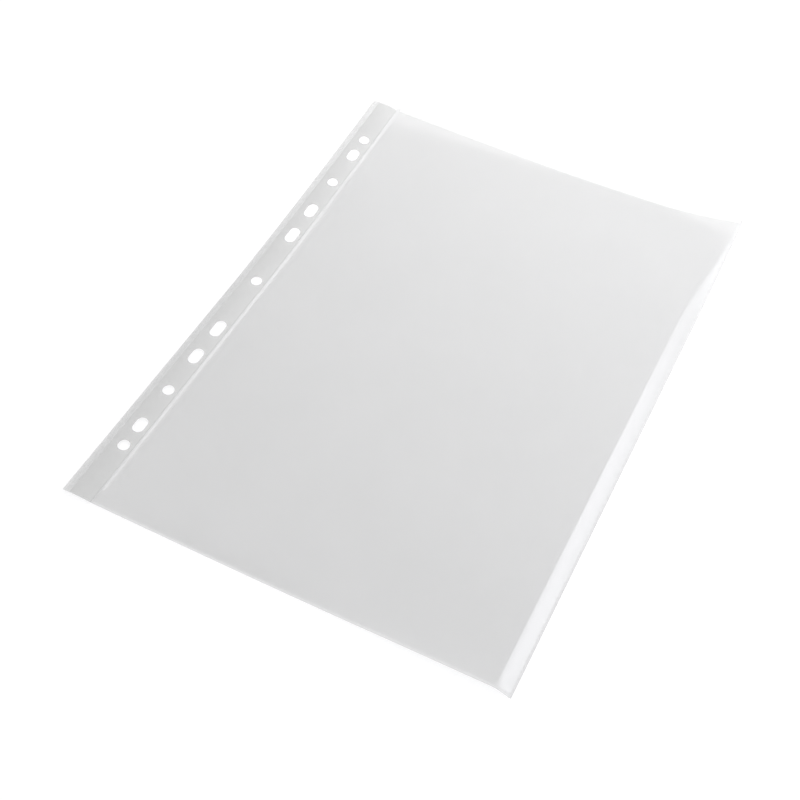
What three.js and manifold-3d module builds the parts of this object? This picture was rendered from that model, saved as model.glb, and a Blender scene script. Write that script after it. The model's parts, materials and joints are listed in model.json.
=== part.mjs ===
// An A4 punched document pocket of clear embossed film, lying flat, in millimetres.
// X runs from the punched strip (left, negative) to the side weld (right, positive).
// Y runs from the closed foot (negative) to the open mouth (positive). Z points up from the table.
// The origin is under the middle of the sheet, on the table.

import * as THREE from 'three';
import { mergeVertices } from 'three/addons/utils/BufferGeometryUtils.js';
import Module from 'manifold-3d';

// Outside size of the flat sheet
const SHEET_WIDTH = 233;
const SHEET_LENGTH = 307;

// Films and the air between films that lie on each other
const FILM_THICKNESS = 0.1;
const TAPE_THICKNESS = 0.15;
const LAYER_GAP = 0.04;

// The punched strip, measured from the sheet's left edge
const STRIP_WIDTH = 16;
const TAPE_MARGIN_AT_MOUTH = 4.6;
const TAPE_MARGIN_AT_FOOT = 4;
const TAPE_END_MARGIN = 0.5;
const HOLE_INSET = 11;
const HOLE_DIAMETER = 6;

// Ring holes on each side of the middle hole: distance along the strip, and straight length of a slot
const SHORT_RING_SLOT_CENTRE = 37.5;
const SHORT_RING_SLOT_STRAIGHT = 5;
const NARROW_RING_SLOT_CENTRE = 58;
const NARROW_RING_SLOT_STRAIGHT = 4;
const INNER_ROUND_HOLE_CENTRE = 82.5;
const LONG_RING_SLOT_CENTRE = 106.5;
const LONG_RING_SLOT_STRAIGHT = 3;
const OUTER_ROUND_HOLE_CENTRE = 120;

// Welds, where both films are melted into one
const STRIP_WELD_WIDTH = 1.4;
const STRIP_WELD_FOOT_GAP = 8;
const SIDE_WELD_WIDTH = 1.2;
const FOOT_WELD_WIDTH = 1.5;
const WELD_THICKNESS = 0.18;

// Clearances of the pieces that move
const CREASE_GAP = 0.6;
const FRONT_EDGE_GAP = 0.3;

// The pocket: the front film stops short of the back film and bulges above it
const MOUTH_STEP = 2;
const BULGE_HEIGHT = 4.5;
const STRIP_SIDE_SHOULDER = 10;
const OUTER_SIDE_SHOULDER = 10;
const FOOT_SHOULDER = 14;

// Mesh fineness
const SHOULDER_STEPS = 6;
const SHOULDER_CROWDING = 1.4;
const FLAT_STEPS_ACROSS = 6;
const FLAT_STEPS_ALONG = 8;
const HOLE_CORNER_STEPS = 8;
const SAME_POINT = 1e-5;

// Places worked out from the sizes above
const leftEdge = -SHEET_WIDTH / 2;
const rightEdge = SHEET_WIDTH / 2;
const footEdge = -SHEET_LENGTH / 2;
const mouthEdge = SHEET_LENGTH / 2;
const frontMouthEdge = mouthEdge - MOUTH_STEP;
const stripEnd = leftEdge + STRIP_WIDTH;
const stripWeldStart = stripEnd + CREASE_GAP;
const stripWeldEnd = stripWeldStart + STRIP_WELD_WIDTH;
const sideWeldStart = rightEdge - SIDE_WELD_WIDTH;
const footWeldEnd = footEdge + FOOT_WELD_WIDTH;
const stripWeldFoot = footEdge + STRIP_WELD_FOOT_GAP;
const tapeBottom = FILM_THICKNESS + LAYER_GAP;
const stripFrontBottom = tapeBottom + TAPE_THICKNESS + LAYER_GAP;
const frontBottom = FILM_THICKNESS + LAYER_GAP;

const wasm = await Module();
wasm.setup();

// Finishes

function clearFilm() {
  return new THREE.MeshStandardMaterial({ color: 0xdcdddc, roughness: 0.45, metalness: 0 });
}

function reinforcingFilm() {
  return new THREE.MeshStandardMaterial({ color: 0xcfd0ce, roughness: 0.5, metalness: 0 });
}

function weldedFilm() {
  return new THREE.MeshStandardMaterial({ color: 0xe8e8ea, roughness: 0.35, metalness: 0 });
}

// Solids and booleans

// Turns a closed three.js geometry into a manifold solid
function toSolid(geometry) {
  const bare = geometry.clone();
  bare.deleteAttribute('normal');
  bare.deleteAttribute('uv');
  const merged = mergeVertices(bare, SAME_POINT);
  return new wasm.Manifold(new wasm.Mesh({
    numProp: 3,
    vertProperties: new Float32Array(merged.attributes.position.array),
    triVerts: new Uint32Array(merged.index.array),
  }));
}

// Turns a manifold solid back into a three.js geometry
function toGeometry(solid) {
  const mesh = solid.getMesh();
  const geometry = new THREE.BufferGeometry();
  geometry.setAttribute('position', new THREE.BufferAttribute(new Float32Array(mesh.vertProperties), 3));
  geometry.setIndex(new THREE.BufferAttribute(new Uint32Array(mesh.triVerts), 1));
  geometry.computeVertexNormals();
  return geometry;
}

// A flat plate with the given outline, from z = bottom upwards
function plate(outline, bottom, thickness) {
  const geometry = new THREE.ExtrudeGeometry(outline, { depth: thickness, bevelEnabled: false });
  geometry.translate(0, 0, bottom);
  return geometry;
}

// A four-cornered outline whose left side may lean, from foot to mouth
function leaningOutline(leftAtFoot, leftAtMouth, right, foot, mouth) {
  const outline = new THREE.Shape();
  outline.moveTo(leftAtFoot, foot);
  outline.lineTo(right, foot);
  outline.lineTo(right, mouth);
  outline.lineTo(leftAtMouth, mouth);
  outline.closePath();
  return outline;
}

function rectangle(left, right, foot, mouth) {
  return leaningOutline(left, left, right, foot, mouth);
}

// Ring holes

// A round hole, or a slot along the strip when straight is above nought
function holeOutline(x, y, straight) {
  const radius = HOLE_DIAMETER / 2;
  const outline = new THREE.Shape();
  outline.absarc(x, y + straight / 2, radius, 0, Math.PI, false);
  outline.absarc(x, y - straight / 2, radius, Math.PI, 2 * Math.PI, false);
  outline.closePath();
  return outline;
}

// The middle hole, and each other hole once towards the mouth and once towards the foot
function holePlaces() {
  const pairs = [
    { distance: SHORT_RING_SLOT_CENTRE, straight: SHORT_RING_SLOT_STRAIGHT },
    { distance: NARROW_RING_SLOT_CENTRE, straight: NARROW_RING_SLOT_STRAIGHT },
    { distance: INNER_ROUND_HOLE_CENTRE, straight: 0 },
    { distance: LONG_RING_SLOT_CENTRE, straight: LONG_RING_SLOT_STRAIGHT },
    { distance: OUTER_ROUND_HOLE_CENTRE, straight: 0 },
  ];
  const places = [{ y: 0, straight: 0 }];
  for (const pair of pairs) {
    places.push({ y: pair.distance, straight: pair.straight });
    places.push({ y: -pair.distance, straight: pair.straight });
  }
  return places;
}

// Cuts every ring hole through one layer of the strip
function punch(geometry, bottom, thickness) {
  const overcut = thickness;
  let solid = toSolid(geometry);
  for (const place of holePlaces()) {
    const cutter = new THREE.ExtrudeGeometry(
      holeOutline(leftEdge + HOLE_INSET, place.y, place.straight),
      { depth: thickness + 2 * overcut, bevelEnabled: false, curveSegments: HOLE_CORNER_STEPS },
    );
    cutter.translate(0, 0, bottom - overcut);
    solid = solid.subtract(toSolid(cutter));
  }
  return toGeometry(solid);
}

// The bulging front film

// Share of the bulge reached at a distance in from a welded edge: steep at the weld, level at the shoulder
function shoulderRise(distance, shoulder) {
  const share = Math.min(Math.max(distance / shoulder, 0), 1);
  return 1 - (1 - share) ** 2;
}

// Distances in from a welded edge, close together at the weld and ending at the shoulder's top
function shoulderSteps(shoulder) {
  const steps = [];
  for (let i = 1; i <= SHOULDER_STEPS; i += 1) {
    steps.push(shoulder * (i / SHOULDER_STEPS) ** SHOULDER_CROWDING);
  }
  return steps;
}

// Even grid lines after start, up to end
function evenLines(start, end, count) {
  const lines = [];
  for (let i = 1; i <= count; i += 1) {
    lines.push(start + (end - start) * (i / count));
  }
  return lines;
}

// Grid lines between two welded edges, with a shoulder at each
function linesAcross(left, right) {
  const leftSteps = shoulderSteps(STRIP_SIDE_SHOULDER).map((step) => left + step);
  const rightSteps = shoulderSteps(OUTER_SIDE_SHOULDER).map((step) => right - step).reverse();
  const flat = evenLines(left + STRIP_SIDE_SHOULDER, rightSteps[0], FLAT_STEPS_ACROSS);
  return [left, ...leftSteps, ...flat, ...rightSteps.slice(1), right];
}

// Grid lines from the welded foot, with its shoulder, to the open mouth
function linesAlong(foot, mouth) {
  const footSteps = shoulderSteps(FOOT_SHOULDER).map((step) => foot + step);
  return [foot, ...footSteps, ...evenLines(foot + FOOT_SHOULDER, mouth, FLAT_STEPS_ALONG)];
}

// A closed sheet of even upright thickness over a grid, its underside at height(x, y)
function sheetOverGrid(xLines, yLines, height, thickness) {
  const columns = xLines.length;
  const rows = yLines.length;
  const layer = columns * rows;
  const positions = [];
  for (const lift of [0, thickness]) {
    for (const y of yLines) {
      for (const x of xLines) {
        positions.push(x, y, height(x, y) + lift);
      }
    }
  }
  const index = [];
  const quad = (a, b, c, d) => index.push(a, b, c, a, c, d);
  for (let row = 0; row < rows - 1; row += 1) {
    for (let column = 0; column < columns - 1; column += 1) {
      const corner = row * columns + column;
      quad(layer + corner, layer + corner + 1, layer + corner + columns + 1, layer + corner + columns);
      quad(corner, corner + columns, corner + columns + 1, corner + 1);
    }
  }
  const rim = [];
  for (let column = 0; column < columns - 1; column += 1) {
    rim.push(column);
  }
  for (let row = 0; row < rows - 1; row += 1) {
    rim.push(row * columns + columns - 1);
  }
  for (let column = columns - 1; column > 0; column -= 1) {
    rim.push((rows - 1) * columns + column);
  }
  for (let row = rows - 1; row > 0; row -= 1) {
    rim.push(row * columns);
  }
  for (let i = 0; i < rim.length; i += 1) {
    const here = rim[i];
    const next = rim[(i + 1) % rim.length];
    quad(here, next, layer + next, layer + here);
  }
  const geometry = new THREE.BufferGeometry();
  geometry.setAttribute('position', new THREE.Float32BufferAttribute(positions, 3));
  geometry.setIndex(index);
  geometry.computeVertexNormals();
  return geometry;
}

function frontFilm() {
  const left = stripWeldEnd + FRONT_EDGE_GAP;
  const right = sideWeldStart - FRONT_EDGE_GAP;
  const foot = footWeldEnd + FRONT_EDGE_GAP;
  const height = (x, y) => frontBottom + BULGE_HEIGHT
    * shoulderRise(x - left, STRIP_SIDE_SHOULDER)
    * shoulderRise(right - x, OUTER_SIDE_SHOULDER)
    * shoulderRise(y - foot, FOOT_SHOULDER);
  return sheetOverGrid(linesAcross(left, right), linesAlong(foot, frontMouthEdge), height, FILM_THICKNESS);
}

// The flat pieces

// The back film goes round the strip weld's end, so that it reaches the crease between that end and the foot
function backFilm() {
  const outline = new THREE.Shape();
  outline.moveTo(stripWeldStart, footWeldEnd);
  outline.lineTo(sideWeldStart, footWeldEnd);
  outline.lineTo(sideWeldStart, mouthEdge);
  outline.lineTo(stripWeldEnd, mouthEdge);
  outline.lineTo(stripWeldEnd, stripWeldFoot);
  outline.lineTo(stripWeldStart, stripWeldFoot);
  outline.closePath();
  return plate(outline, 0, FILM_THICKNESS);
}

function stripBackFilm() {
  const film = plate(rectangle(leftEdge, stripEnd, footEdge, mouthEdge), 0, FILM_THICKNESS);
  return punch(film, 0, FILM_THICKNESS);
}

// The tape was laid in slightly askew, so that its outer edge comes a little nearer to the strip's edge at the foot
function reinforcingTape() {
  const outline = leaningOutline(
    leftEdge + TAPE_MARGIN_AT_FOOT,
    leftEdge + TAPE_MARGIN_AT_MOUTH,
    stripEnd,
    footEdge + TAPE_END_MARGIN,
    frontMouthEdge - TAPE_END_MARGIN,
  );
  return punch(plate(outline, tapeBottom, TAPE_THICKNESS), tapeBottom, TAPE_THICKNESS);
}

function stripFrontFilm() {
  const outline = rectangle(leftEdge, stripEnd, footEdge, frontMouthEdge);
  return punch(plate(outline, stripFrontBottom, FILM_THICKNESS), stripFrontBottom, FILM_THICKNESS);
}

function stripWeld() {
  const outline = rectangle(stripWeldStart, stripWeldEnd, stripWeldFoot, mouthEdge);
  return plate(outline, 0, WELD_THICKNESS);
}

function footWeld() {
  return plate(rectangle(stripWeldStart, sideWeldStart, footEdge, footWeldEnd), 0, WELD_THICKNESS);
}

function sideWeld() {
  return plate(rectangle(sideWeldStart, rightEdge, footEdge, mouthEdge), 0, WELD_THICKNESS);
}

// Assembly

function named(name, geometry, material) {
  const mesh = new THREE.Mesh(geometry, material);
  mesh.name = name;
  return mesh;
}

const pocketBody = new THREE.Group();
pocketBody.add(
  named('back_film', backFilm(), clearFilm()),
  named('strip_weld', stripWeld(), weldedFilm()),
  named('foot_weld', footWeld(), weldedFilm()),
  named('side_weld', sideWeld(), weldedFilm()),
);

const bindingStrip = new THREE.Group();
bindingStrip.add(
  named('strip_back_film', stripBackFilm(), clearFilm()),
  named('reinforcing_tape', reinforcingTape(), reinforcingFilm()),
  named('strip_front_film', stripFrontFilm(), clearFilm()),
);

const documentPocket = new THREE.Group();
documentPocket.add(pocketBody, bindingStrip, named('front_film', frontFilm(), clearFilm()));

export default documentPocket;
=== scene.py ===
"""A clear A4 punched document pocket of embossed film, lying on a pale table.

Lengths are in metres. X runs from the punched strip to the side weld, Y from the closed foot to the open
mouth, and Z up from the table. Flat outlines are worked out first, and then every piece is laid over the
same gentle curl, so that films, tape and welds stay on each other.
"""

import json
import logging
import math
from collections.abc import Callable
from dataclasses import dataclass, field
from enum import Enum, auto

import bpy
import numpy as np
from mathutils import Matrix, Vector


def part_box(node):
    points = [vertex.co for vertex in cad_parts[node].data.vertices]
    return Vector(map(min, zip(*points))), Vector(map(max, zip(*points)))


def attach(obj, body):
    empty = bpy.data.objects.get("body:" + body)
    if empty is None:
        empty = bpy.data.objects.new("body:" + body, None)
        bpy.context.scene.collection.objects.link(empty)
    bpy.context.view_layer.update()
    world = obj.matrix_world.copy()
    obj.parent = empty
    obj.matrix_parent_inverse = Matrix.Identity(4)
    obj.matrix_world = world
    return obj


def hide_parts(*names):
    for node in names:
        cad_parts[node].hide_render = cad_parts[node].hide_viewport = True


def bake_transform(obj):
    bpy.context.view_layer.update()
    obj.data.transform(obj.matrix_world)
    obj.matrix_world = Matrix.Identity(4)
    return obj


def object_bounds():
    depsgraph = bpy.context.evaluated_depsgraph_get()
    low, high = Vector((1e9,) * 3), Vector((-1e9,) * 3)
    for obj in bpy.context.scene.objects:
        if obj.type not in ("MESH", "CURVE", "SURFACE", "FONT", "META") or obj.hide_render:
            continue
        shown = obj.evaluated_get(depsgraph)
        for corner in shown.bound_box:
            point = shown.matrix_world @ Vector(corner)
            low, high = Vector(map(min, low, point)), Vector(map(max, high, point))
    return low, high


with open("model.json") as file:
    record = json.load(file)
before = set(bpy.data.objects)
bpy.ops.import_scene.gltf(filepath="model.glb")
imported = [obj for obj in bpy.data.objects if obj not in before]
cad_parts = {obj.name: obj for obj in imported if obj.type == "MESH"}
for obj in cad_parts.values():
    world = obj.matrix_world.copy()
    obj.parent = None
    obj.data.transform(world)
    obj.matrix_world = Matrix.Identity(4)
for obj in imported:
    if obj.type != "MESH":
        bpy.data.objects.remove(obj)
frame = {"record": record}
cad_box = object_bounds()

log = logging.getLogger("document_pocket")
MM = 0.001

# Points of a flat mesh that agree to this many decimals of a metre are one point
MERGE_DECIMALS = 8

# Faces that meet at a larger angle are shaded with an edge between them
SHARP_ANGLE = math.radians(50)

# The two ends of a share, and of a no or yes
NONE_TO_ALL = (0.0, 1.0)

# A height, thickness or share at each place of the flat sheet
Measure = Callable[[np.ndarray, np.ndarray], np.ndarray]


class Body(Enum):
    """The moving bodies of the pocket."""

    BACK = "pocket_back"
    STRIP = "binding_strip"
    FRONT = "pocket_front"


class Slot(Enum):
    """The record's material slots."""

    FILM = "embossed_film"
    TAPE = "reinforcing_film"
    WELD = "welded_film"


class Layer(Enum):
    """The kinds of layer, each with a finish of its own."""

    FRONT = auto()
    BACK = auto()
    TAPE = auto()
    WELD = auto()
    BEAD = auto()


@dataclass(frozen=True)
class Stack:
    """The layers that lie on each other.

    Attributes:
        film: Thickness of a film.
        tape: Thickness of the reinforcing tape.
        weld: Thickness of a weld.
        air: Air between two layers.
    """

    film: float = 0.10 * MM
    tape: float = 0.15 * MM
    weld: float = 0.18 * MM
    air: float = 0.04 * MM

    @property
    def over_film(self) -> float:
        """Height of the layer that lies on the back film."""
        return self.film + self.air

    @property
    def over_tape(self) -> float:
        """Height of the strip's front film, which lies on the tape."""
        return self.over_film + self.tape + self.air

    @property
    def whole_strip(self) -> float:
        """Thickness of the strip's three layers together."""
        return self.over_tape + self.film


@dataclass(frozen=True)
class RingHole:
    """A punched hole: its centre, its radius and the straight length of a slot."""

    x: float
    y: float
    straight: float
    radius: float = 3.0 * MM

    @property
    def half_length(self) -> float:
        """Half of the hole's length along the strip."""
        return self.radius + self.straight / 2


@dataclass
class SheetPlan:
    """The flat outline of the pocket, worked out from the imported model.

    Attributes:
        left, right, foot, mouth: The sheet's four edges.
        strip_end: Where the punched strip ends at the crease.
        weld_start, weld_end: The strip weld, across.
        weld_foot: Where the strip weld stops, short of the foot.
        side_start: Inner edge of the side weld.
        foot_end: Inner edge of the foot weld.
        front_mouth: The front film's edge at the mouth.
        tape: The tape's lowest and highest corner.
        holes: The ring holes, from foot to mouth.
    """

    left: float
    right: float
    foot: float
    mouth: float
    strip_end: float
    weld_start: float
    weld_end: float
    weld_foot: float
    side_start: float
    foot_end: float
    front_mouth: float
    tape: tuple[Vector, Vector]
    holes: list[RingHole]

    @classmethod
    def from_frame(cls) -> "SheetPlan":
        """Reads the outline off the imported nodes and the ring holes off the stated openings."""
        low, high = cad_box
        weld_low, weld_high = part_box("strip_weld")
        return cls(
            left=low.x,
            right=high.x,
            foot=low.y,
            mouth=high.y,
            strip_end=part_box("strip_back_film")[1].x,
            weld_start=weld_low.x,
            weld_end=weld_high.x,
            weld_foot=weld_low.y,
            side_start=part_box("side_weld")[0].x,
            foot_end=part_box("foot_weld")[1].y,
            front_mouth=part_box("front_film")[1].y,
            tape=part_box("reinforcing_tape"),
            holes=cls.ring_holes(),
        )

    @staticmethod
    def ring_holes() -> list[RingHole]:
        """Returns the ring holes: each opening's box is a square with the slot's straight length added."""
        holes = []
        for opening in frame["record"]["physics"]["openings"]:
            if "ring" in opening["holds"]:
                low, high = (Vector(corner) for corner in opening["box_m"])
                straight = (high.y - low.y) - (high.x - low.x)
                holes.append(RingHole((low.x + high.x) / 2, (low.y + high.y) / 2, max(straight, 0.0)))
        return sorted(holes, key=lambda hole: hole.y)


def smooth(share: np.ndarray) -> np.ndarray:
    """Eases a share in and out: its square, times three less twice the share."""
    return share ** 2 * (3 - 2 * share)


def eased(share: np.ndarray, power: float) -> np.ndarray:
    """Eases a share out: one less the left-over share, to a power."""
    return 1 - (1 - share) ** power


@dataclass(frozen=True)
class Curl:
    """How the lying sheet curls up from the table.

    Attributes:
        plan: The sheet's flat outline.
        corner_lift: Rise of the far right corner.
        corner_reach: How far in from that corner its rise starts.
        corner_turn: Turn of that rise's direction from the diagonal, in radians.
        crease_lift: Rise of the crease's ends, at the foot and at the mouth.
        crease_reach: How far the crease's rise reaches across the pocket.
        crease_power: Power with which it fades on the way.
        tip_lift: Further rise of the strip's outer tips, at the foot and at the mouth.
        arch_lift: Rise of the strip's middle line, at the foot, halfway and at the mouth.
        end_power: Power of the distance from the middle with which all ends rise.
        ear_lift: Rise of the near right corner.
        ear_reach: How far in from that corner its rise starts.
        ear_fade: Shares of the sheet's width between which the ear fades in.
        slope_width: Width of the sloping band beside the side weld.
        slope_power: How its slope eases out. At 1 the slope is straight.
    """

    plan: SheetPlan
    corner_lift: float = 6.6 * MM
    corner_reach: float = 47.0 * MM
    corner_turn: float = -0.15
    crease_lift: tuple[float, float] = (0.9 * MM, 6.2 * MM)
    crease_reach: float = 132.0 * MM
    crease_power: float = 1.5
    tip_lift: tuple[float, float] = (0.3 * MM, 1.0 * MM)
    arch_lift: tuple[float, float, float] = (0.7 * MM, 0.9 * MM, 1.2 * MM)
    end_power: float = 1.5
    ear_lift: float = 3.8 * MM
    ear_reach: float = 160.0 * MM
    ear_fade: tuple[float, float] = (0.25, 0.75)
    slope_width: float = 7.0 * MM
    slope_power: float = 1.15

    def side_slope(self, x: np.ndarray, narrowed: np.ndarray | float = 1.0) -> np.ndarray:
        """Share of the full rise beside the side weld, which eases out across the sloping band.

        Args:
            x: Places across the sheet.
            narrowed: Share of the band's full width.

        Returns:
            The share at each place.
        """
        share = np.clip((self.plan.side_start - x) / (self.slope_width * narrowed), 0, 1)
        return eased(share, self.slope_power)

    def corner(self, x: np.ndarray, y: np.ndarray) -> np.ndarray:
        """Rise of the far right corner, with the square of the distance past a slanted line.

        Args:
            x: Places across the sheet.
            y: Places along the sheet.

        Returns:
            The rise at each place.
        """
        plan = self.plan
        turn = math.pi / 4 + self.corner_turn
        past = (x - plan.right) * math.cos(turn) + (y - plan.mouth) * math.sin(turn)
        return self.corner_lift * np.clip(past / self.corner_reach + 1, 0, None) ** 2

    def ear(self, x: np.ndarray, y: np.ndarray) -> np.ndarray:
        """Rise of the near right ear, before it falls away beside the side weld.

        It grows with the square of the distance past a diagonal line, and fades out in the left half.

        Args:
            x: Places across the sheet.
            y: Places along the sheet.

        Returns:
            The rise at each place.
        """
        plan = self.plan
        past = ((x - plan.right) - (y - plan.foot)) / math.sqrt(2)
        start, end = self.ear_fade
        across = (x - plan.left) / (plan.right - plan.left)
        fade = np.clip((across - start) / (end - start), 0, 1)
        return self.ear_lift * np.clip(past / self.ear_reach + 1, 0, None) ** 2 * fade

    def end_share(self, y: np.ndarray) -> np.ndarray:
        """Share of an end's rise: the share of the way from the middle to that end, to a power."""
        half = (self.plan.mouth - self.plan.foot) / 2
        return np.abs(y / half) ** self.end_power

    def crease_height(self, y: np.ndarray) -> np.ndarray:
        """Height of the crease, which rises from its middle to its two ends."""
        foot, mouth = self.crease_lift
        return np.where(y > 0, mouth, foot) * self.end_share(y)

    def strip_rise(self, x: np.ndarray, y: np.ndarray) -> np.ndarray:
        """Rise of the strip over its crease.

        It is an even rise to the outer edge, which only the ends have, and a low arch on top: a parabola
        from the crease to the outer edge.

        Args:
            x: Places across the sheet.
            y: Places along the sheet.

        Returns:
            The rise at each place.
        """
        plan = self.plan
        out = np.clip((plan.strip_end - x) / (plan.strip_end - plan.left), 0, 1)
        ends = self.end_share(y)
        foot, mouth = self.tip_lift
        tip = np.where(y > 0, mouth, foot) * ends
        foot, middle, mouth = self.arch_lift
        arch = middle + (np.where(y > 0, mouth, foot) - middle) * ends
        return tip * out + arch * 4 * out * (1 - out)

    def height(self, x: np.ndarray, y: np.ndarray) -> np.ndarray:
        """Height of the sheet's underside over the table.

        It is the sum of the corner, the ear, the crease's rise and the strip's own. The ear falls away
        beside the side weld, and the crease's rise fades across the pocket with a power of the way left.

        Args:
            x: Places across the sheet.
            y: Places along the sheet.

        Returns:
            The height at each place.
        """
        ear = self.ear(x, y) * self.side_slope(x)
        left = np.clip(1 - (x - self.plan.strip_end) / self.crease_reach, 0, 1)
        crease = self.crease_height(y) * left ** self.crease_power
        return self.corner(x, y) + ear + crease + self.strip_rise(x, y)

    def fold_share(self, x: np.ndarray, y: np.ndarray) -> np.ndarray:
        """Share of the strip's turn that each place makes.

        The strip turns about a straight line at the table, which the crease leaves at its raised ends. Where
        the crease is as high as a place is far from that line, that place makes half of a right-angled turn,
        so the folded strip stands on the crease and doesn't cut into the pocket.

        Args:
            x: Places across the sheet.
            y: Places along the sheet.

        Returns:
            The share at each place, which fades to nothing from the strip's end to the strip weld.
        """
        plan = self.plan
        line = (plan.strip_end + plan.weld_start) / 2
        outwards = line - np.minimum(x, plan.strip_end)
        turn = np.arctan2(outwards, self.crease_height(y)) / (math.pi / 2)
        web = np.clip((plan.weld_start - x) / (plan.weld_start - plan.strip_end), 0, 1)
        return turn * smooth(web)

    def fold(self, piece: bpy.types.Object) -> None:
        """Bakes a piece's place into its mesh and works out each place's share of the strip's fold, which
        isn't kept.

        Args:
            piece: The piece.
        """
        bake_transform(piece)
        set_share(piece, self.fold_share)


@dataclass
class FlatMesh:
    """A flat outline cut into quads: points is (n, 2) and quads is (m, 4), counter-clockwise."""

    points: np.ndarray
    quads: np.ndarray

    @classmethod
    def grid(cls, across: np.ndarray, along: np.ndarray) -> "FlatMesh":
        """A grid with a point where each line across meets each line along.

        Args:
            across: X of the grid lines.
            along: Y of the grid lines.

        Returns:
            The grid.
        """
        x, y = np.meshgrid(across, along)
        columns = len(across)
        row, column = np.mgrid[0 : len(along) - 1, 0 : columns - 1]
        corner = (row * columns + column).ravel()
        quads = np.stack([corner, corner + 1, corner + columns + 1, corner + columns], axis=1)
        return cls(np.stack([x.ravel(), y.ravel()], axis=1), quads)

    @classmethod
    def around_hole(cls, hole: RingHole, across: np.ndarray, along: np.ndarray, rings: int) -> "FlatMesh":
        """A cell of the strip with a ring hole in it.

        The cell's rim runs once round its grid points. Each rim point has a partner on the hole's edge,
        one radius from the nearest point of the slot's straight middle line, in the rim point's
        direction. Rings between the two are spaced with the square of the step.

        Args:
            hole: The hole.
            across: X of the cell's grid lines.
            along: Y of the cell's grid lines.
            rings: Rings of quads between the hole and the cell's rim.

        Returns:
            The cell, open at the hole.
        """
        rim = np.concatenate([
            np.stack([across[:-1], np.full(len(across) - 1, along[0])], axis=1),
            np.stack([np.full(len(along) - 1, across[-1]), along[:-1]], axis=1),
            np.stack([across[:0:-1], np.full(len(across) - 1, along[-1])], axis=1),
            np.stack([np.full(len(along) - 1, across[0]), along[:0:-1]], axis=1),
        ])
        middle = np.clip(rim[:, 1], hole.y - hole.straight / 2, hole.y + hole.straight / 2)
        nearest = np.stack([np.full(len(rim), hole.x), middle], axis=1)
        outward = rim - nearest
        edge = nearest + hole.radius * outward / np.linalg.norm(outward, axis=1)[:, None]
        steps = even_lines(0, 1, rings)[:, None, None] ** 2
        points = (edge + (rim - edge) * steps).reshape(-1, 2)
        count = len(rim)
        ring, place = np.mgrid[0:rings, 0:count]
        inner = (ring * count + place).ravel()
        inner_next = (ring * count + (place + 1) % count).ravel()
        quads = np.stack([inner, inner + count, inner_next + count, inner_next], axis=1)
        return cls(points, quads)

    @classmethod
    def joined(cls, parts: list["FlatMesh"]) -> "FlatMesh":
        """Several flat meshes as one, with the points that coincide merged.

        Args:
            parts: The meshes to join.

        Returns:
            The joined mesh.
        """
        starts = np.cumsum([0] + [len(part.points) for part in parts[:-1]])
        points = np.concatenate([part.points for part in parts])
        quads = np.concatenate([part.quads + start for part, start in zip(parts, starts)])
        _, first, merged = np.unique(
            np.round(points, MERGE_DECIMALS), axis=0, return_index=True, return_inverse=True
        )
        return cls(points[first], merged.reshape(-1)[quads])

    def without(self, left: float, right: float, foot: float, mouth: float) -> "FlatMesh":
        """The mesh without the quads whose centre lies inside a rectangle.

        Args:
            left, right, foot, mouth: The rectangle.

        Returns:
            What is left.
        """
        x, y = self.points[self.quads].mean(axis=1).T
        keep = ~((x > left) & (x < right) & (y > foot) & (y < mouth))
        used, quads = np.unique(self.quads[keep], return_inverse=True)
        return FlatMesh(self.points[used], quads.reshape(-1, 4))

    def rim_edges(self) -> np.ndarray:
        """Returns the edges that only one quad has, each in that quad's direction, as (k, 2)."""
        edges = np.stack([self.quads, np.roll(self.quads, -1, axis=1)], axis=2).reshape(-1, 2)
        ordered = np.sort(edges, axis=1)
        _, place, count = np.unique(ordered, axis=0, return_inverse=True, return_counts=True)
        return edges[count[place.reshape(-1)] == 1]


def film_object(name: str, flat: FlatMesh, underside: Measure, thickness: Measure) -> bpy.types.Object:
    """Makes a closed film: the flat mesh at the underside's height, again one thickness up, and a wall.

    Args:
        name: The piece's name.
        flat: Its flat outline.
        underside: Height of its lower face.
        thickness: Its upright thickness.

    Returns:
        The new object.
    """
    x, y = flat.points.T
    low = underside(x, y)
    high = low + thickness(x, y)
    points = np.concatenate([np.stack([x, y, low], axis=1), np.stack([x, y, high], axis=1)])
    count = len(x)
    rim = flat.rim_edges()
    wall = np.stack([rim[:, 0], rim[:, 1], rim[:, 1] + count, rim[:, 0] + count], axis=1)
    faces = np.concatenate([flat.quads[:, ::-1], flat.quads + count, wall])
    log.info("%s: %d faces", name, len(faces))
    return mesh_object(name, points, faces)


def mesh_object(name: str, points: np.ndarray, faces: np.ndarray) -> bpy.types.Object:
    """Makes a smooth-shaded mesh object with its place in its mesh.

    Args:
        name: The object's name.
        points: (n, 3) places.
        faces: (m, 4) corners of the faces.

    Returns:
        The new object.
    """
    mesh = bpy.data.meshes.new(name)
    mesh.vertices.add(len(points))
    mesh.vertices.foreach_set("co", points.astype(np.float32).ravel())
    mesh.loops.add(faces.size)
    mesh.loops.foreach_set("vertex_index", faces.astype(np.int32).ravel())
    mesh.polygons.add(len(faces))
    mesh.polygons.foreach_set("loop_start", np.arange(len(faces), dtype=np.int32) * faces.shape[1])
    mesh.polygons.foreach_set("use_smooth", np.ones(len(faces), dtype=bool))
    mesh.update(calc_edges=True)
    mesh.validate()
    mesh.set_sharp_from_angle(angle=SHARP_ANGLE)
    piece = bpy.data.objects.new(name, mesh)
    bpy.context.scene.collection.objects.link(piece)
    return piece


def set_share(piece: bpy.types.Object, share: Measure) -> None:
    """Works out how far each point of a piece between two bodies follows the second one, but keeps it
    nowhere.

    Args:
        share: The share at each place of the sheet.
    """
    points = np.empty(len(piece.data.vertices) * 3, np.float32)
    piece.data.vertices.foreach_get("co", points)
    x, y, _ = points.reshape(-1, 3).T
    share(x, y).astype(np.float32)


def constant(value: float) -> Measure:
    """A measure that is the same everywhere."""
    return lambda x, y: np.full(np.shape(x), value)


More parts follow.
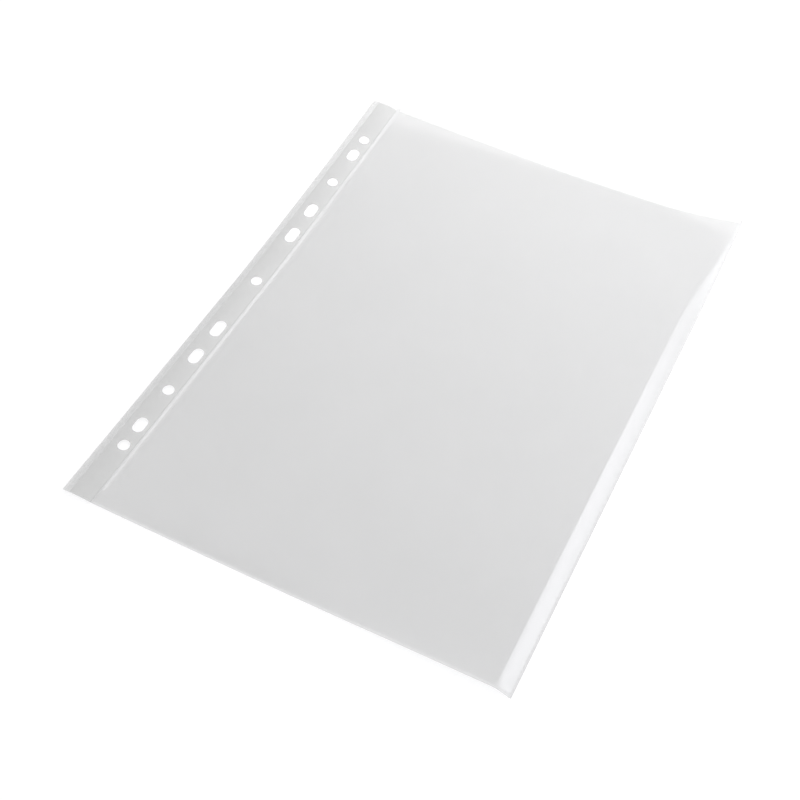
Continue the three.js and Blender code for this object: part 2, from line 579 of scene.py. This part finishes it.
def even_lines(start: float, end: float, count: int) -> np.ndarray:
    """Even grid lines from start to end, with a number of gaps between them."""
    return np.linspace(start, end, count + 1)


def spaced(start: float, end: float, step: float) -> np.ndarray:
    """Even grid lines from start to end, about one step apart."""
    return even_lines(start, end, max(int(round((end - start) / step)), 1))


def crowded(edge: float, inner: float, count: int, power: float) -> np.ndarray:
    """Grid lines from an edge inwards, spaced with a power of the step, so closest at the edge."""
    return edge + (inner - edge) * even_lines(0, 1, count) ** power


class NodeTree:
    """Adds nodes to the tree of a material or a world, and links them."""

    def __init__(self, owner: bpy.types.Material | bpy.types.World) -> None:
        """Empties the owner's tree.

        Args:
            owner: The material or world.
        """
        owner.use_nodes = True
        self.tree = owner.node_tree
        self.tree.nodes.clear()

    def add(
        self, kind: str, inputs: dict[str | int, object] | None = None, **options: object
    ) -> bpy.types.Node:
        """Adds a node.

        Args:
            kind: The node's type.
            inputs: A value for a socket, or the socket to link to it.
            options: Properties of the node.

        Returns:
            The node.
        """
        node = self.tree.nodes.new(kind)
        for key, value in options.items():
            setattr(node, key, value)
        for key, value in (inputs or {}).items():
            socket = node.inputs[key]
            if isinstance(value, bpy.types.NodeSocket):
                self.tree.links.new(value, socket)
            else:
                socket.default_value = value
        return node

    def noise(self, place: bpy.types.NodeSocket, size: float, detail: float) -> bpy.types.NodeSocket:
        """Adds noise with grains of a size, finer with more detail, and returns its value."""
        inputs = {"Vector": place, "Scale": 1 / size, "Detail": detail}
        return self.add("ShaderNodeTexNoise", inputs).outputs["Fac"]

    def remap(
        self,
        value: bpy.types.NodeSocket,
        source: tuple[float, float],
        target: tuple[float | bpy.types.NodeSocket, float | bpy.types.NodeSocket],
    ) -> bpy.types.NodeSocket:
        """Adds an even map from one range to another.

        Args:
            value: The value to map.
            source: Its two ends, past which it is held.
            target: What they become.

        Returns:
            The mapped value.
        """
        inputs = {
            "Value": value,
            "From Min": source[0],
            "From Max": source[1],
            "To Min": target[0],
            "To Max": target[1],
        }
        return self.add("ShaderNodeMapRange", inputs).outputs["Result"]

    def combine(
        self, operation: str, first: bpy.types.NodeSocket, second: bpy.types.NodeSocket
    ) -> bpy.types.NodeSocket:
        """Adds an operation on two values and returns its result."""
        return self.add("ShaderNodeMath", {0: first, 1: second}, operation=operation).outputs[0]


@dataclass(frozen=True)
class FilmFinish:
    """A clear embossed film.

    Attributes:
        name: The material's name.
        slot: The record's slot for its material. It is not used.
        colour: Colour of what the film scatters.
        haze: Share of the light that each face scatters, at the clearest and at the cloudiest spot.
        roughness: Roughness of the gloss.
        index: Refractive index that gives the scattering share the whole film's gloss.
        grain: Size of the emboss grain.
        grain_depth: Depth of the emboss.
        grain_detail: How many finer grains it has on top.
        cloud: Size of the faint clouds in the haze.
        cloud_detail: How many finer clouds they have on top.
        cloud_ends: Values of the clouds' noise at the clearest and at the cloudiest spot.
        shade: Share of the haze that keeps the lamps' light off what is below. The rest scatters onwards.
    """

    name: str
    slot: Slot
    colour: tuple[float, float, float]
    haze: tuple[float, float]
    roughness: float
    index: float
    grain: float = 0.9 * MM
    grain_depth: float = 0.03 * MM
    grain_detail: float = 1.0
    cloud: float = 45.0 * MM
    cloud_detail: float = 2.0
    cloud_ends: tuple[float, float] = (0.3, 0.7)
    shade: float = 0.25

    def material(self) -> bpy.types.Material:
        """Builds the material: a see-through share, and a share of grained, cloudy plastic."""
        material = bpy.data.materials.new(self.name)
        shader = NodeTree(material)
        place = shader.add("ShaderNodeTexCoord").outputs["Object"]
        grain = shader.noise(place, self.grain, self.grain_detail)
        bump = shader.add(
            "ShaderNodeBump", {"Height": grain, "Strength": 1.0, "Distance": self.grain_depth}
        )
        plastic = shader.add(
            "ShaderNodeBsdfPrincipled",
            {
                "Base Color": (*self.colour, 1.0),
                "Roughness": self.roughness,
                "IOR": self.index,
                "Normal": bump.outputs["Normal"],
            },
        )
        clear = shader.add("ShaderNodeBsdfTransparent", {"Color": (1.0, 1.0, 1.0, 1.0)})
        cloud = shader.noise(place, self.cloud, self.cloud_detail)
        haze = shader.remap(cloud, self.cloud_ends, self.haze)
        to_lamp = shader.add("ShaderNodeLightPath").outputs["Is Shadow Ray"]
        share = shader.remap(to_lamp, NONE_TO_ALL, (1.0, self.shade))
        scattered = shader.combine("MULTIPLY", haze, share)
        mix = shader.add(
            "ShaderNodeMixShader",
            {0: scattered, 1: clear.outputs["BSDF"], 2: plastic.outputs["BSDF"]},
        )
        shader.add("ShaderNodeOutputMaterial", {"Surface": mix.outputs["Shader"]})
        return material


# The haze of both films: its colour, and its share at the clearest and at the cloudiest spot
FILM_GREY = (0.50, 0.50, 0.496)
FILM_HAZE = (0.135, 0.141)

# The finish of each kind of layer
FINISHES = {
    Layer.FRONT: FilmFinish(
        "embossed_film", Slot.FILM, FILM_GREY, FILM_HAZE, roughness=0.3, index=3.0
    ),
    Layer.BACK: FilmFinish(
        "backing_film", Slot.FILM, FILM_GREY, FILM_HAZE, roughness=0.45, index=2.4
    ),
    Layer.TAPE: FilmFinish(
        "reinforcing_film", Slot.TAPE, colour=(0.79, 0.79, 0.785), haze=(0.58, 0.62),
        roughness=0.5, index=1.5,
    ),
    Layer.WELD: FilmFinish(
        "welded_film", Slot.WELD, colour=(0.47, 0.47, 0.47), haze=(0.22, 0.24),
        roughness=0.3, index=1.6, grain=0.8 * MM,
    ),
    Layer.BEAD: FilmFinish(
        "welded_bead", Slot.WELD, colour=(0.62, 0.62, 0.62), haze=(0.25, 0.29),
        roughness=0.3, index=1.6, grain=0.8 * MM,
    ),
}


@dataclass
class Finishes:
    """Dresses the pieces.

    Attributes:
        made: The material of each kind of layer, from the first piece that needs it on.
    """

    made: dict[Layer, bpy.types.Material] = field(default_factory=dict)

    def dress(self, piece: bpy.types.Object, layer: Layer) -> None:
        """Gives a piece its finish. Only the back films shade the table from the lamps.

        Args:
            piece: The piece.
            layer: The kind of layer that it is.
        """
        finish = FINISHES[layer]
        if layer not in self.made:
            self.made[layer] = finish.material()
        piece.data.materials.append(self.made[layer])
        piece.visible_shadow = layer is Layer.BACK


@dataclass
class BindingStrip:
    """The punched strip: two films with the reinforcing tape between them.

    Attributes:
        plan: The sheet's flat outline.
        curl: How the sheet curls up.
        finishes: What dresses the pieces.
        stack: The layers' thicknesses.
        columns: Columns of quads across the strip.
        cell_rows: Rows of quads along a hole's cell.
        cell_margin: Distance from a hole's end to its cell's rim.
        hole_rings: Rings of quads between a hole and its cell's rim.
        step: Distance between grid lines along the strip.
    """

    plan: SheetPlan
    curl: Curl
    finishes: Finishes
    stack: Stack = Stack()
    columns: int = 16
    cell_rows: int = 12
    cell_margin: float = 2.0 * MM
    hole_rings: int = 4
    step: float = 2.0 * MM

    def layer(self, left: float, foot: float, mouth: float) -> FlatMesh:
        """A punched layer: a cell round each hole, and plain grid between the cells.

        Args:
            left: Its outer edge.
            foot: Its end at the foot.
            mouth: Its end at the mouth.

        Returns:
            The flat layer.
        """
        across = even_lines(left, self.plan.strip_end, self.columns)
        parts = []
        start = foot
        for hole in self.plan.holes:
            low = hole.y - hole.half_length - self.cell_margin
            high = hole.y + hole.half_length + self.cell_margin
            cell_lines = even_lines(low, high, self.cell_rows)
            parts.append(FlatMesh.grid(across, spaced(start, low, self.step)))
            parts.append(FlatMesh.around_hole(hole, across, cell_lines, self.hole_rings))
            start = high
        parts.append(FlatMesh.grid(across, spaced(start, mouth, self.step)))
        return FlatMesh.joined(parts)

    def piece(
        self, name: str, node: str, layer: Layer, flat: FlatMesh, bottom: float, thickness: float
    ) -> None:
        """Lays one layer over the curl and works out its share of the strip's fold, which isn't kept.

        Args:
            name: The piece's name.
            node: The node that it stands for.
            layer: The kind of layer that it is.
            flat: Its flat outline.
            bottom: Height of its underside over the sheet's.
            thickness: Its thickness.
        """
        made = film_object(
            name, flat, lambda x, y: self.curl.height(x, y) + bottom, constant(thickness)
        )
        self.finishes.dress(made, layer)
        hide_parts(node)
        self.curl.fold(made)

    def build(self) -> None:
        """Makes the strip's three layers."""
        plan, stack = self.plan, self.stack
        back = self.layer(plan.left, plan.foot, plan.mouth)
        self.piece("strip_back_sheet", "strip_back_film", Layer.BACK, back, 0.0, stack.film)
        low, high = plan.tape
        tape = self.layer(low.x, low.y, high.y)
        self.piece(
            "reinforcing_ribbon", "reinforcing_tape", Layer.TAPE, tape, stack.over_film, stack.tape
        )
        front = self.layer(plan.left, plan.foot, plan.front_mouth)
        self.piece(
            "strip_front_sheet", "strip_front_film", Layer.FRONT, front, stack.over_tape, stack.film
        )


@dataclass
class Pocket:
    """The pocket itself: the back film, the bulging front film, the welds and the crease.

    Attributes:
        plan: The sheet's flat outline.
        curl: How the sheet curls up.
        finishes: What dresses the pieces.
        stack: The layers' thicknesses.
        bead: Thickness of the strip weld's bead.
        pinch_depth: Share of the bead's height over a plain weld that a pinch takes.
        pinch_length: Distance between two pinches.
        bulge: Height of the front film over the back film.
        bulge_blend: How softly it ends where the ear alone is as high.
        shoulder_power: How the bulge's rise eases out from a weld.
        strip_shoulder: How far the bulge takes to rise from the strip weld.
        foot_shoulder: How far it takes to rise from the foot weld.
        foot_edge: How far its first steep part at the foot weld reaches.
        foot_dip: Share of it that is missing there, away from the side weld.
        mouth_shoulder: How far before the mouth it starts to fall.
        mouth_share: Share of it that is left at the mouth.
        step: Distance between grid lines.
        foot_fineness: How many times closer they are beside the strip weld's open foot end.
        slope_lines: Columns of quads at the slope beside the side weld.
        slope_spread: How far in these columns reach, in widths of the slope.
        slope_crowding: Power with which they get closer towards the weld.
        weld_columns, bead_columns, crease_columns: Columns of quads across these pieces.
        bead_step: Distance between grid lines along the bead.
    """

    plan: SheetPlan
    curl: Curl
    finishes: Finishes
    stack: Stack = Stack()
    bead: float = 0.26 * MM
    pinch_depth: float = 0.3
    pinch_length: float = 2.2 * MM
    bulge: float = 3.6 * MM
    bulge_blend: float = 0.3 * MM
    shoulder_power: float = 2.0
    strip_shoulder: float = 70.0 * MM
    foot_shoulder: float = 60.0 * MM
    foot_edge: float = 5.0 * MM
    foot_dip: float = 0.7
    mouth_shoulder: float = 80.0 * MM
    mouth_share: float = 0.12
    step: float = 2.0 * MM
    foot_fineness: int = 4
    slope_lines: int = 24
    slope_spread: float = 1.6
    slope_crowding: float = 1.2
    weld_columns: int = 3
    bead_columns: int = 6
    crease_columns: int = 8
    bead_step: float = 0.5 * MM

    def across(self) -> np.ndarray:
        """Returns X of the grid lines across the pocket, close together at the side shoulder."""
        plan = self.plan
        slope_start = plan.side_start - self.slope_spread * self.curl.slope_width
        slope = crowded(plan.side_start, slope_start, self.slope_lines, self.slope_crowding)[::-1]
        middle = spaced(plan.weld_end, slope[0], self.step)
        return np.concatenate([[plan.weld_start], middle, slope[1:]])

    def along(self, mouth: float) -> np.ndarray:
        """Y of the grid lines from the foot weld to the mouth.

        Args:
            mouth: The film's edge at the mouth.

        Returns:
            The lines, with one where the strip weld stops.
        """
        plan = self.plan
        return np.concatenate([
            spaced(plan.foot_end, plan.weld_foot, self.step / self.foot_fineness),
            spaced(plan.weld_foot, mouth, self.step)[1:],
        ])

    def flat_film(self, mouth: float) -> FlatMesh:
        """The flat outline of a film, with a tongue beside the strip weld's open foot end.

        Args:
            mouth: The film's edge at the mouth.

        Returns:
            The outline.
        """
        plan = self.plan
        flat = FlatMesh.grid(self.across(), self.along(mouth))
        return flat.without(plan.weld_start, plan.weld_end, plan.weld_foot, plan.mouth)

    def rise(self, distance: np.ndarray, shoulder: float) -> np.ndarray:
        """Share of the bulge reached at a distance from a weld, which eases out across a shoulder."""
        return eased(np.clip(distance / shoulder, 0, 1), self.shoulder_power)

    def bulge_height(self, x: np.ndarray, y: np.ndarray) -> np.ndarray:
        """Height of the front film over the back film.

        The bulge, less what the ear has lifted already, times its rise from each weld. Towards the mouth
        it falls, and the slope beside the side weld gets as much narrower.

        Args:
            x: Places across the sheet.
            y: Places along the sheet.

        Returns:
            The height at each place.
        """
        plan = self.plan
        from_strip = self.rise(x - plan.weld_end, self.strip_shoulder)
        first = self.rise(y - plan.foot_end, self.foot_edge)
        full = self.rise(y - plan.foot_end, self.foot_shoulder)
        inside = np.clip((plan.side_start - self.curl.slope_width - x) / self.foot_shoulder, 0, 1)
        lift = self.bulge * (1 - self.foot_dip * inside * (1 - full)) - self.curl.ear(x, y)
        lift = (lift + np.sqrt(lift ** 2 + self.bulge_blend ** 2)) / 2
        near = np.clip((y - plan.front_mouth) / self.mouth_shoulder + 1, 0, 1)
        left = 1 - (1 - self.mouth_share) * smooth(near)
        return lift * from_strip * self.curl.side_slope(x, left) * first * left

    def front_height(self, x: np.ndarray, y: np.ndarray) -> np.ndarray:
        """Height of the front film's underside over the table."""
        return self.curl.height(x, y) + self.stack.over_film + self.bulge_height(x, y)

    def lift_share(self, x: np.ndarray, y: np.ndarray) -> np.ndarray:
        """Share of the mouth's lift that each place of the front film makes.

        It is an arch across the pocket, a parabola that is nothing at the welds, and it grows evenly away
        from the foot.

        Args:
            x: Places across the sheet.
            y: Places along the sheet.

        Returns:
            The share at each place.
        """
        plan = self.plan
        middle = (plan.weld_end + plan.side_start) / 2
        half = (plan.side_start - plan.weld_end) / 2
        arch = np.clip(1 - ((x - middle) / half) ** 2, 0, 1)
        along = np.clip((y - plan.foot_end) / (plan.front_mouth - plan.foot_end), 0, 1)
        return arch * along

    def bead_thickness(self, x: np.ndarray, y: np.ndarray) -> np.ndarray:
        """Thickness of the strip weld.

        It is a round bead, a parabola across, times a wave along that makes fine pinches.

        Args:
            x: Places across the sheet.
            y: Places along the sheet.

        Returns:
            The thickness at each place.
        """
        plan, weld = self.plan, self.stack.weld
        share = (x - plan.weld_start) / (plan.weld_end - plan.weld_start) * 2 - 1
        wave = np.cos(2 * math.pi * y / self.pinch_length)
        pinch = 1 - self.pinch_depth * (1 - wave) / 2
        return weld + (self.bead - weld) * (1 - share ** 2) * pinch

    def crease_thickness(self, x: np.ndarray, y: np.ndarray) -> np.ndarray:
        """Thickness of the crease, which falls evenly from the whole strip's to the weld's.

        Args:
            x: Places across the sheet.
            y: Places along the sheet.

        Returns:
            The thickness at each place.
        """
        plan, stack = self.plan, self.stack
        share = (x - plan.strip_end) / (plan.weld_start - plan.strip_end)
        return stack.whole_strip + (stack.weld - stack.whole_strip) * share

    def ride(self, piece: bpy.types.Object, layer: Layer, node: str) -> None:
        """Dresses a piece, lets it stand for a node and ride on the pocket's back.

        Args:
            piece: The piece.
            layer: The kind of layer that it is.
            node: The node that it stands for.
        """
        self.finishes.dress(piece, layer)
        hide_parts(node)
        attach(piece, Body.BACK.value)

    def back_film(self) -> None:
        """Makes the back film."""
        flat = self.flat_film(self.plan.mouth)
        piece = film_object("back_sheet", flat, self.curl.height, constant(self.stack.film))
        self.ride(piece, Layer.BACK, "back_film")

    def front_film(self) -> None:
        """Makes the front film, which stays on its welds while its mouth arches open."""
        plan = self.plan
        flat = self.flat_film(plan.front_mouth)
        piece = film_object("front_sheet", flat, self.front_height, constant(self.stack.film))
        self.finishes.dress(piece, Layer.FRONT)
        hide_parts("front_film")
        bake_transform(piece)
        set_share(piece, self.lift_share)

    def strip_weld(self) -> None:
        """Makes the strip weld's bead."""
        plan = self.plan
        flat = FlatMesh.grid(
            even_lines(plan.weld_start, plan.weld_end, self.bead_columns),
            spaced(plan.weld_foot, plan.mouth, self.bead_step),
        )
        piece = film_object("strip_seam", flat, self.curl.height, self.bead_thickness)
        self.ride(piece, Layer.BEAD, "strip_weld")

    def foot_weld(self) -> None:
        """Makes the foot weld, from the crease to the side weld."""
        plan = self.plan
        flat = FlatMesh.grid(
            spaced(plan.weld_start, plan.side_start, self.step),
            even_lines(plan.foot, plan.foot_end, self.weld_columns),
        )
        piece = film_object("foot_seam", flat, self.curl.height, constant(self.stack.weld))
        self.ride(piece, Layer.WELD, "foot_weld")

    def side_weld(self) -> None:
        """Makes the side weld, the thin line at the right edge."""
        plan = self.plan
        flat = FlatMesh.grid(
            even_lines(plan.side_start, plan.right, self.weld_columns),
            spaced(plan.foot, plan.mouth, self.step),
        )
        piece = film_object("side_seam", flat, self.curl.height, constant(self.stack.weld))
        self.ride(piece, Layer.WELD, "side_weld")

    def crease(self) -> None:
        """Makes the crease, which bends between the strip and the strip weld."""
        plan = self.plan
        flat = FlatMesh.grid(
            even_lines(plan.strip_end, plan.weld_start, self.crease_columns),
            spaced(plan.foot, plan.mouth, self.step),
        )
        piece = film_object("crease_web", flat, self.curl.height, self.crease_thickness)
        self.finishes.dress(piece, Layer.WELD)
        self.curl.fold(piece)

    def build(self) -> None:
        """Makes the films, the welds and the crease."""
        self.back_film()
        self.strip_weld()
        self.foot_weld()
        self.side_weld()
        self.crease()
        self.front_film()


@dataclass(frozen=True)
class SoftBox:
    """A soft box over the table.

    Attributes:
        name: Its name.
        way: Its direction, as seen from the sheet's middle.
        distance: Its distance from there.
        size: Its width and height.
        power: Its power in watts.
        colour: Its colour.
        mirrored: Whether glossy surfaces mirror it.
    """

    name: str
    way: tuple[float, float, float]
    distance: float
    size: tuple[float, float]
    power: float
    colour: tuple[float, float, float] = (1.0, 1.0, 1.0)
    mirrored: bool = True

    def build(self) -> None:
        """Hangs the soft box in its place, facing the sheet."""
        way = Vector(self.way).normalized()
        lamp = bpy.data.lights.new(self.name, "AREA")
        lamp.shape = "RECTANGLE"
        lamp.size, lamp.size_y = self.size
        lamp.energy = self.power
        lamp.color = self.colour
        box = bpy.data.objects.new(self.name, lamp)
        box.location = way * self.distance
        box.rotation_mode = "QUATERNION"
        box.rotation_quaternion = way.to_track_quat("Z", "Y")
        box.visible_glossy = self.mirrored
        bpy.context.scene.collection.objects.link(box)


@dataclass
class Studio:
    """The table, the light and the camera.

    Attributes:
        table_size: Width of the table.
        table_drop: Air between the table and the film's underside.
        table_colour: The table's own colour.
        table_white: The table's colour for the camera, up to the first and from the second distance of
        white_reach on. It makes the open table white, and its rise with the distance is painted light
        that makes up for the lamps' light falling off away from the mouth.
        white_centre: The place on the table, beyond the mouth, from which these distances are taken.
        white_reach: The two distances.
        air_light: Strength of the light from all around.
        air_seen: Its strength for the camera.
        main_box: The large soft box beyond the mouth.
        edge_box: The smaller one beyond the side weld, which makes the side shoulder gleam.
        camera_turn, camera_height: The camera's azimuth and elevation in degrees.
        camera_distance: Distance of the camera from its target.
        camera_target: The point of the table that the lens axis meets.
        camera_sight: The nearest and the farthest distance that it sees.
        sensor_width: Width of its sensor in millimetres.
        picture: Width of the picture in pixels.
        focal_pixels: Focal length in these pixels.
        axis_pixel: Column of the picture that the lens axis meets.
    """

    table_size: float = 8.0
    table_drop: float = 0.05 * MM
    table_colour: float = 0.8
    # table_white's rise with the distance is painted light, which makes up for the lamps' falloff
    table_white: tuple[float, float] = (1.06, 2.08)
    white_centre: tuple[float, float, float] = (0.52, 1.44, 0.0)
    white_reach: tuple[float, float] = (1.63, 3.0)
    air_light: float = 0.60
    air_seen: float = 1.0
    main_box: SoftBox = SoftBox(
        "main_box", way=(0.12, 0.80, 0.59), distance=1.35, size=(1.15, 0.78), power=15.2,
        mirrored=False,
    )
    edge_box: SoftBox = SoftBox(
        "edge_box", way=(0.68, 0.42, 0.60), distance=1.6, size=(0.9, 0.5), power=7.3,
        colour=(0.95, 0.95, 1.0),
    )
    camera_turn: float = 26.25
    camera_height: float = 53.36
    camera_distance: float = 0.5896
    camera_target: tuple[float, float] = (0.02833, -0.02244)
    camera_sight: tuple[float, float] = (0.01, 50.0)
    sensor_width: float = 36.0
    picture: float = 800.0
    focal_pixels: float = 1179.99
    axis_pixel: float = 460.73

    def table_material(self) -> bpy.types.Material:
        """Builds the table's finish, which is white to the camera where nothing shades the table. Its rise
        away from white_centre is painted light against the lamps' falloff.
        """
        material = bpy.data.materials.new("plain_table")
        shader = NodeTree(material)
        path = shader.add("ShaderNodeLightPath")
        seen = shader.combine("MAXIMUM", path.outputs["Is Camera Ray"], path.outputs["Is Glossy Ray"])
        seen = shader.combine("MAXIMUM", seen, path.outputs["Is Transmission Ray"])
        place = shader.add("ShaderNodeTexCoord").outputs["Object"]
        away = shader.add(
            "ShaderNodeVectorMath", {0: place, 1: self.white_centre}, operation="DISTANCE"
        )
        # Painted light: the table gets lighter for the camera away from white_centre, to make up for the
        # lamps' light falling off
        white = shader.remap(away.outputs["Value"], self.white_reach, self.table_white)
        colour = shader.remap(seen, NONE_TO_ALL, (self.table_colour, white))
        diffuse = shader.add("ShaderNodeBsdfDiffuse", {"Color": colour})
        shader.add("ShaderNodeOutputMaterial", {"Surface": diffuse.outputs["BSDF"]})
        return material

    def table(self) -> None:
        """Makes the plain table."""
        half = self.table_size / 2
        corners = np.array([
            (-half, -half, -self.table_drop),
            (half, -half, -self.table_drop),
            (half, half, -self.table_drop),
            (-half, half, -self.table_drop),
        ])
        table = mesh_object("table_top", corners, np.array([[0, 1, 2, 3]]))
        table.data.materials.append(self.table_material())

    def light(self) -> None:
        """Makes the light from all around and hangs the soft boxes."""
        world = bpy.data.worlds.new("studio_air")
        bpy.context.scene.world = world
        shader = NodeTree(world)
        seen = shader.add("ShaderNodeLightPath").outputs["Is Camera Ray"]
        strength = shader.remap(seen, NONE_TO_ALL, (self.air_light, self.air_seen))
        air = shader.add("ShaderNodeBackground", {"Strength": strength})
        shader.add("ShaderNodeOutputWorld", {"Surface": air.outputs["Background"]})
        self.main_box.build()
        self.edge_box.build()

    def camera(self) -> None:
        """Makes the camera, looking down at the sheet from its near right side."""
        turn, height = math.radians(self.camera_turn), math.radians(self.camera_height)
        back = Vector((
            math.sin(turn) * math.cos(height),
            -math.cos(turn) * math.cos(height),
            math.sin(height),
        ))
        right = Vector((math.cos(turn), math.sin(turn), 0))
        data = bpy.data.cameras.new("studio_camera")
        data.sensor_width = self.sensor_width
        data.lens = self.focal_pixels / self.picture * data.sensor_width
        data.shift_x = (self.picture / 2 - self.axis_pixel) / self.picture
        data.clip_start, data.clip_end = self.camera_sight
        camera = bpy.data.objects.new("studio_camera", data)
        axes = Matrix((right, back.cross(right), back)).transposed()
        place = Vector((*self.camera_target, 0)) + back * self.camera_distance
        camera.matrix_world = Matrix.Translation(place) @ axes.to_4x4()
        bpy.context.scene.collection.objects.link(camera)
        bpy.context.scene.camera = camera

    def build(self) -> None:
        """Sets up the table, light and camera."""
        bpy.context.scene.view_settings.view_transform = "Standard"
        self.table()
        self.light()
        self.camera()


def main() -> None:
    """Builds the pocket in its studio."""
    logging.basicConfig(level=logging.INFO, format="%(name)s: %(message)s")
    plan = SheetPlan.from_frame()
    curl = Curl(plan)
    finishes = Finishes()
    Studio().build()
    BindingStrip(plan, curl, finishes).build()
    Pocket(plan, curl, finishes).build()
    bpy.context.view_layer.update()


if __name__ == "__main__":
    main()
